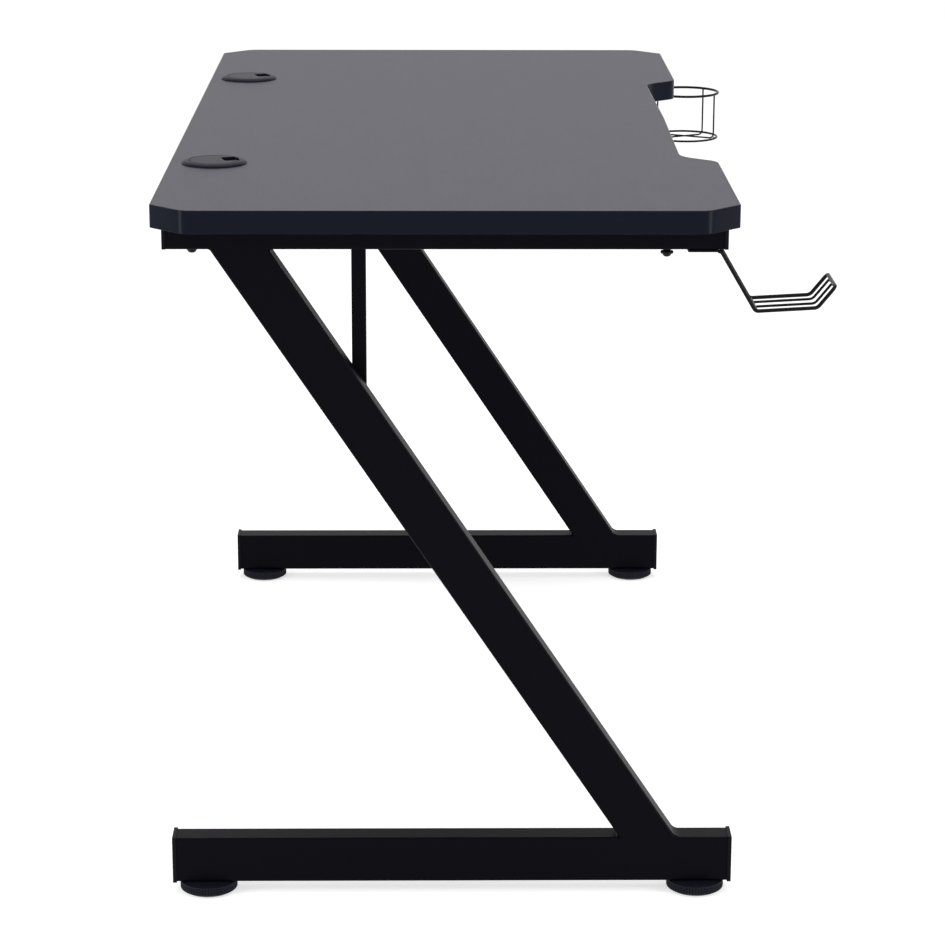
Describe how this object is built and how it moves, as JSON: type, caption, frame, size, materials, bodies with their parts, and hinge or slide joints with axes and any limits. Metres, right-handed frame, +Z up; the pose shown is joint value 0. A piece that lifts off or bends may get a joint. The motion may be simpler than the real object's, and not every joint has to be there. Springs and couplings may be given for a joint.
{
  "type": "gaming desk",
  "caption": "Computer desk with slanted Z-shaped steel legs, a notched dark top, a headphone hook, a cup holder and levelling feet.",
  "frame": {"origin": "on the floor, under the middle of the outer box", "axes": "+X along the desk to the user's right, +Y from the user to the rear, +Z up"},
  "size_m": [1.2, 0.7, 0.754],
  "materials": {
    "worktop_board": "matte dark grey laminate with a fine grain",
    "edge_band": "satin black edge band",
    "frame_steel": "black powder coat",
    "end_cap": "moulded black plastic",
    "wire_steel": "black coated wire",
    "plate_steel": "black coated sheet",
    "fastener": "black oxide",
    "grommet_plastic": "moulded black plastic",
    "stud_steel": "zinc plated",
    "foot_plastic": "moulded black plastic, knurled rim"
  },
  "bodies": {
    "desk": {"tabletop": "worktop_board", "edge_band": "edge_band", "left_top_bar": "frame_steel", "right_top_bar": "frame_steel", "left_leg": "frame_steel", "right_leg": "frame_steel", "left_floor_bar": "frame_steel", "right_floor_bar": "frame_steel", "brace_beam": "frame_steel", "left_brace_upright": "frame_steel", "right_brace_upright": "frame_steel", "left_top_bar_front_cap": "end_cap", "left_top_bar_rear_cap": "end_cap", "left_floor_bar_front_cap": "end_cap", "left_floor_bar_rear_cap": "end_cap", "right_top_bar_front_cap": "end_cap", "right_top_bar_rear_cap": "end_cap", "right_floor_bar_front_cap": "end_cap", "right_floor_bar_rear_cap": "end_cap", "hook_loop": "wire_steel", "hook_corner_bar": "wire_steel", "hook_inner_wires": "wire_steel", "cup_holder_top_ring": "wire_steel", "cup_holder_base_ring": "wire_steel", "cup_holder_upper_wire": "wire_steel", "cup_holder_lower_wire": "wire_steel", "hook_plate": "plate_steel", "cup_holder_plate": "plate_steel", "beam_screws": "fastener", "brace_bolts": "fastener", "brace_nuts": "fastener", "top_bar_rear_screws": "fastener", "top_bar_front_screws": "fastener", "hook_screws": "fastener", "cup_holder_screws": "fastener", "foot_nuts": "fastener", "left_grommet_ring": "grommet_plastic", "right_grommet_ring": "grommet_plastic"},
    "left_front_stud": {"left_front_stud": "stud_steel"},
    "left_front_foot": {"left_front_foot": "foot_plastic"},
    "left_rear_stud": {"left_rear_stud": "stud_steel"},
    "left_rear_foot": {"left_rear_foot": "foot_plastic"},
    "right_front_stud": {"right_front_stud": "stud_steel"},
    "right_front_foot": {"right_front_foot": "foot_plastic"},
    "right_rear_stud": {"right_rear_stud": "stud_steel"},
    "right_rear_foot": {"right_rear_foot": "foot_plastic"},
    "left_grommet_cover": {"left_grommet_cover": "grommet_plastic"},
    "right_grommet_cover": {"right_grommet_cover": "grommet_plastic"}
  },
  "joints": [
    {"name": "left_front_stud_travel", "type": "slide", "parent": "desk", "child": "left_front_stud", "axis": [0, 0, -1], "range_m": [0, 0.012]},
    {"name": "left_front_foot_turn", "type": "hinge", "parent": "left_front_stud", "child": "left_front_foot", "pos_m": [-0.558, -0.22, 0.008], "axis": [0, 0, -1], "range_deg": [0, 3450]},
    {"name": "left_rear_stud_travel", "type": "slide", "parent": "desk", "child": "left_rear_stud", "axis": [0, 0, -1], "range_m": [0, 0.012]},
    {"name": "left_rear_foot_turn", "type": "hinge", "parent": "left_rear_stud", "child": "left_rear_foot", "pos_m": [-0.558, 0.305, 0.008], "axis": [0, 0, -1], "range_deg": [0, 3450]},
    {"name": "right_front_stud_travel", "type": "slide", "parent": "desk", "child": "right_front_stud", "axis": [0, 0, -1], "range_m": [0, 0.012]},
    {"name": "right_front_foot_turn", "type": "hinge", "parent": "right_front_stud", "child": "right_front_foot", "pos_m": [0.558, -0.22, 0.008], "axis": [0, 0, -1], "range_deg": [0, 3450]},
    {"name": "right_rear_stud_travel", "type": "slide", "parent": "desk", "child": "right_rear_stud", "axis": [0, 0, -1], "range_m": [0, 0.012]},
    {"name": "right_rear_foot_turn", "type": "hinge", "parent": "right_rear_stud", "child": "right_rear_foot", "pos_m": [0.558, 0.305, 0.008], "axis": [0, 0, -1], "range_deg": [0, 3450]},
    {"name": "left_cover_turn", "type": "hinge", "parent": "desk", "child": "left_grommet_cover", "pos_m": [-0.32, 0.301, 0.75], "axis": [0, 0, 1], "continuous": true},
    {"name": "right_cover_turn", "type": "hinge", "parent": "desk", "child": "right_grommet_cover", "pos_m": [0.32, 0.301, 0.75], "axis": [0, 0, 1], "continuous": true}
  ],
  "couplings": [
    {"joint": "left_front_stud_travel", "follows": "left_front_foot_turn", "m_per_rad": 0.00019894},
    {"joint": "left_rear_stud_travel", "follows": "left_rear_foot_turn", "m_per_rad": 0.00019894},
    {"joint": "right_front_stud_travel", "follows": "right_front_foot_turn", "m_per_rad": 0.00019894},
    {"joint": "right_rear_stud_travel", "follows": "right_rear_foot_turn", "m_per_rad": 0.00019894}
  ]
}
